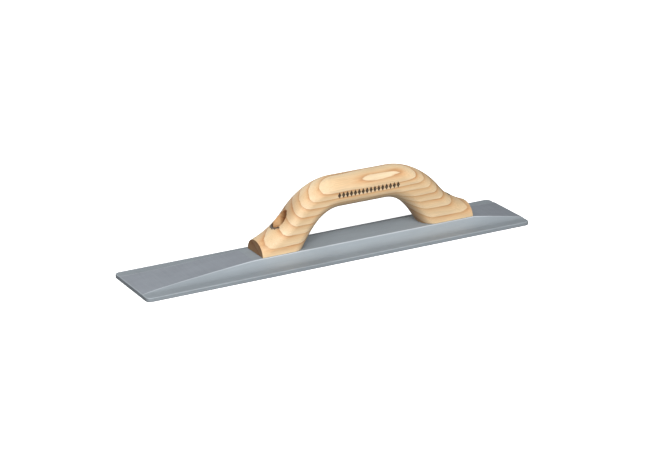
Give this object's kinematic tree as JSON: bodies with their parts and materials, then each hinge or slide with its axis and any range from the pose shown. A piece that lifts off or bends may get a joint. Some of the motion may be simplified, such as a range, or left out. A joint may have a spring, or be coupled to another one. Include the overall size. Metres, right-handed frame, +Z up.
{
  "type": "magnesium hand float",
  "caption": "Concrete finishing hand float: long thin magnesium blade, thicker along its middle, with a wooden arch handle screwed on top.",
  "frame": {"origin": "centre of the blade's flat sole", "axes": "+X along the blade from the long-overhang toe to the heel, +Y across the blade, +Z up from the sole to the handle"},
  "size_m": [0.4064, 0.0794, 0.0738],
  "materials": {
    "magnesium": "extruded and milled magnesium, satin blue-grey",
    "handle_wood": "pale sanded wood with orange-brown growth rings, sealed, low sheen",
    "screw_steel": "zinc plated, slightly dull",
    "washer_steel": "plain stamped steel, dull"
  },
  "bodies": {
    "root": {"blade": "magnesium", "handle": "handle_wood", "toe_screw": "screw_steel", "heel_screw": "screw_steel", "toe_washer": "washer_steel", "heel_washer": "washer_steel"}
  },
  "joints": []
}
